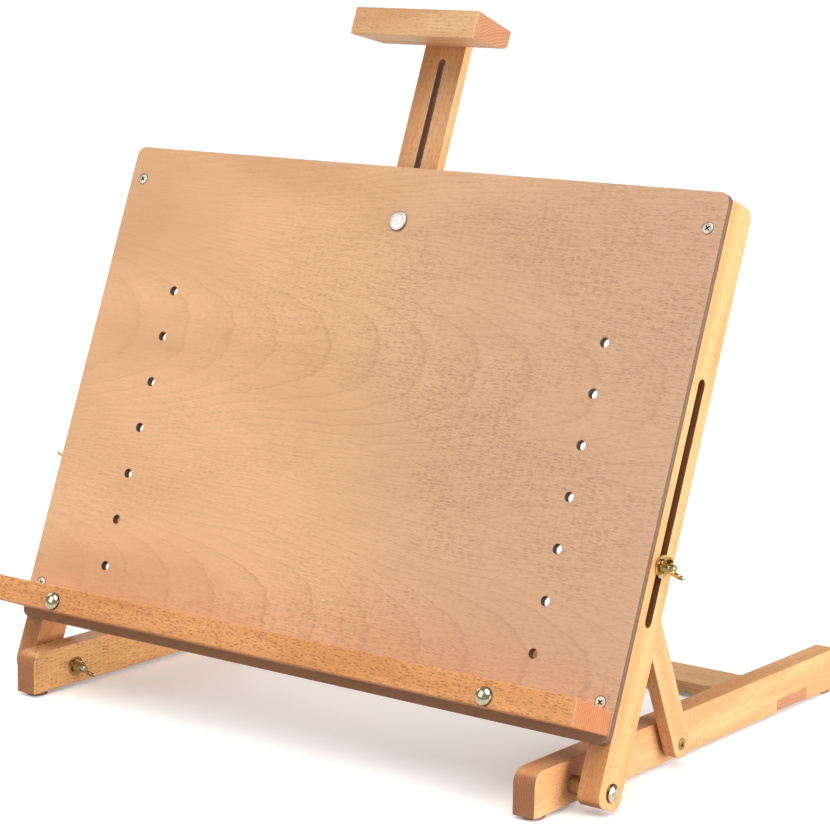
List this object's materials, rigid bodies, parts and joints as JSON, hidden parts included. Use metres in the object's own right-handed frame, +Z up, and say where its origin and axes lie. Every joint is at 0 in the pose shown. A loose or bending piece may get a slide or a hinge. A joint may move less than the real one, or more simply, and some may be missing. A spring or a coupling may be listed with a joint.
{
  "type": "tabletop easel",
  "caption": "Wooden tabletop easel: plywood drawing board on slotted masts hinged to base rails, propped by struts, with a canvas tray and a sliding clamp bar.",
  "frame": {"origin": "on the table top, below the middle of the part's box", "axes": "+Z up, +X to the painter's right along the tilt axis, +Y to the rear along the base rails"},
  "size_m": [0.7034, 0.5282, 0.6447],
  "materials": {
    "beech": "clear oiled beech",
    "plywood": "sanded beech veneer plywood, clear coated",
    "yellow_zinc": "bright yellow zinc plate",
    "bright_steel": "bright flat bolt head",
    "rubber": "amber-brown bumper foot"
  },
  "bodies": {
    "base": {"rear_cross_bar": "beech", "base_rail_left": "beech", "cross_bar_screw_left": "yellow_zinc", "foot_front_left": "rubber", "foot_rear_left": "rubber", "pivot_bolt_left": "yellow_zinc", "pivot_spacer_left": "yellow_zinc", "pivot_washer_left": "yellow_zinc", "base_rail_right": "beech", "cross_bar_screw_right": "yellow_zinc", "foot_front_right": "rubber", "foot_rear_right": "rubber", "pivot_bolt_right": "yellow_zinc", "pivot_spacer_right": "yellow_zinc", "pivot_washer_right": "yellow_zinc"},
    "board_frame": {"drawing_board": "plywood", "canvas_tray": "beech", "bar_bolt": "bright_steel", "bar_washer": "yellow_zinc", "mast_left": "beech", "board_screw_lower_left": "yellow_zinc", "board_screw_upper_left": "yellow_zinc", "tray_bolt_left": "yellow_zinc", "tray_washer_left": "yellow_zinc", "bar_guide_left": "beech", "mast_right": "beech", "board_screw_lower_right": "yellow_zinc", "board_screw_upper_right": "yellow_zinc", "tray_bolt_right": "yellow_zinc", "tray_washer_right": "yellow_zinc", "bar_guide_right": "beech"},
    "centre_bar": {"centre_bar": "beech", "clamp_block": "beech", "block_screw_left": "yellow_zinc", "block_screw_right": "yellow_zinc"},
    "bar_wing_nut": {"bar_wing_nut": "yellow_zinc"},
    "strut_left": {"strut_left": "beech", "strut_screw_left": "yellow_zinc", "strut_spacer_left": "yellow_zinc", "strut_bolt_left": "yellow_zinc"},
    "slot_clamp_left": {"slot_stud_left": "yellow_zinc", "slot_washer_left": "yellow_zinc"},
    "pivot_wing_nut_left": {"pivot_wing_nut_left": "yellow_zinc"},
    "slot_wing_nut_left": {"slot_wing_nut_left": "yellow_zinc"},
    "tray_wing_nut_left": {"tray_wing_nut_left": "yellow_zinc"},
    "strut_right": {"strut_right": "beech", "strut_screw_right": "yellow_zinc", "strut_spacer_right": "yellow_zinc", "strut_bolt_right": "yellow_zinc"},
    "slot_clamp_right": {"slot_stud_right": "yellow_zinc", "slot_washer_right": "yellow_zinc"},
    "pivot_wing_nut_right": {"pivot_wing_nut_right": "yellow_zinc"},
    "slot_wing_nut_right": {"slot_wing_nut_right": "yellow_zinc"},
    "tray_wing_nut_right": {"tray_wing_nut_right": "yellow_zinc"}
  },
  "joints": [
    {"name": "board_tilt", "type": "hinge", "parent": "base", "child": "board_frame", "pos_m": [0, -0.20095, 0.0205], "axis": [-1, 0, 0], "range_deg": [-6.5, 57]},
    {"name": "bar_slide", "type": "slide", "parent": "board_frame", "child": "centre_bar", "axis": [0, 0.36, 0.933], "range_m": [-0.115, 0.22]},
    {"name": "bar_nut_turn", "type": "hinge", "parent": "board_frame", "child": "bar_wing_nut", "pos_m": [0, -0.03617, 0.44558], "axis": [0, 0.933, -0.36], "continuous": true},
    {"name": "strut_left_swing", "type": "hinge", "parent": "base", "child": "strut_left", "pos_m": [-0.30555, -0.05445, 0.023], "axis": [-1, 0, 0], "range_deg": [-10.8, 93.1]},
    {"name": "slot_clamp_left_slide", "type": "slide", "parent": "board_frame", "child": "slot_clamp_left", "axis": [0, 0.36, 0.933], "range_m": [-0.0175, 0.149]},
    {"name": "pivot_nut_left_turn", "type": "hinge", "parent": "base", "child": "pivot_wing_nut_left", "pos_m": [-0.265, -0.20095, 0.0205], "axis": [1, 0, 0], "continuous": true},
    {"name": "slot_nut_left_turn", "type": "hinge", "parent": "slot_clamp_left", "child": "slot_wing_nut_left", "pos_m": [-0.342, -0.1342, 0.19904], "axis": [-1, 0, 0], "continuous": true},
    {"name": "tray_nut_left_turn", "type": "hinge", "parent": "board_frame", "child": "tray_wing_nut_left", "pos_m": [-0.245, -0.19134, 0.07317], "axis": [0, 0.933, -0.36], "continuous": true},
    {"name": "strut_right_swing", "type": "hinge", "parent": "base", "child": "strut_right", "pos_m": [0.30555, -0.05445, 0.023], "axis": [-1, 0, 0], "range_deg": [-10.8, 93.1]},
    {"name": "slot_clamp_right_slide", "type": "slide", "parent": "board_frame", "child": "slot_clamp_right", "axis": [0, 0.36, 0.933], "range_m": [-0.0175, 0.149]},
    {"name": "pivot_nut_right_turn", "type": "hinge", "parent": "base", "child": "pivot_wing_nut_right", "pos_m": [0.265, -0.20095, 0.0205], "axis": [-1, 0, 0], "continuous": true},
    {"name": "slot_nut_right_turn", "type": "hinge", "parent": "slot_clamp_right", "child": "slot_wing_nut_right", "pos_m": [0.342, -0.1342, 0.19904], "axis": [1, 0, 0], "continuous": true},
    {"name": "tray_nut_right_turn", "type": "hinge", "parent": "board_frame", "child": "tray_wing_nut_right", "pos_m": [0.245, -0.19134, 0.07317], "axis": [0, 0.933, -0.36], "continuous": true}
  ],
  "couplings": [
    {"joint": "strut_left_swing", "follows": "board_tilt", "ratio": 1.63},
    {"joint": "slot_clamp_left_slide", "follows": "board_tilt", "m_per_rad": 0.149},
    {"joint": "strut_right_swing", "follows": "board_tilt", "ratio": 1.63},
    {"joint": "slot_clamp_right_slide", "follows": "board_tilt", "m_per_rad": 0.149}
  ]
}
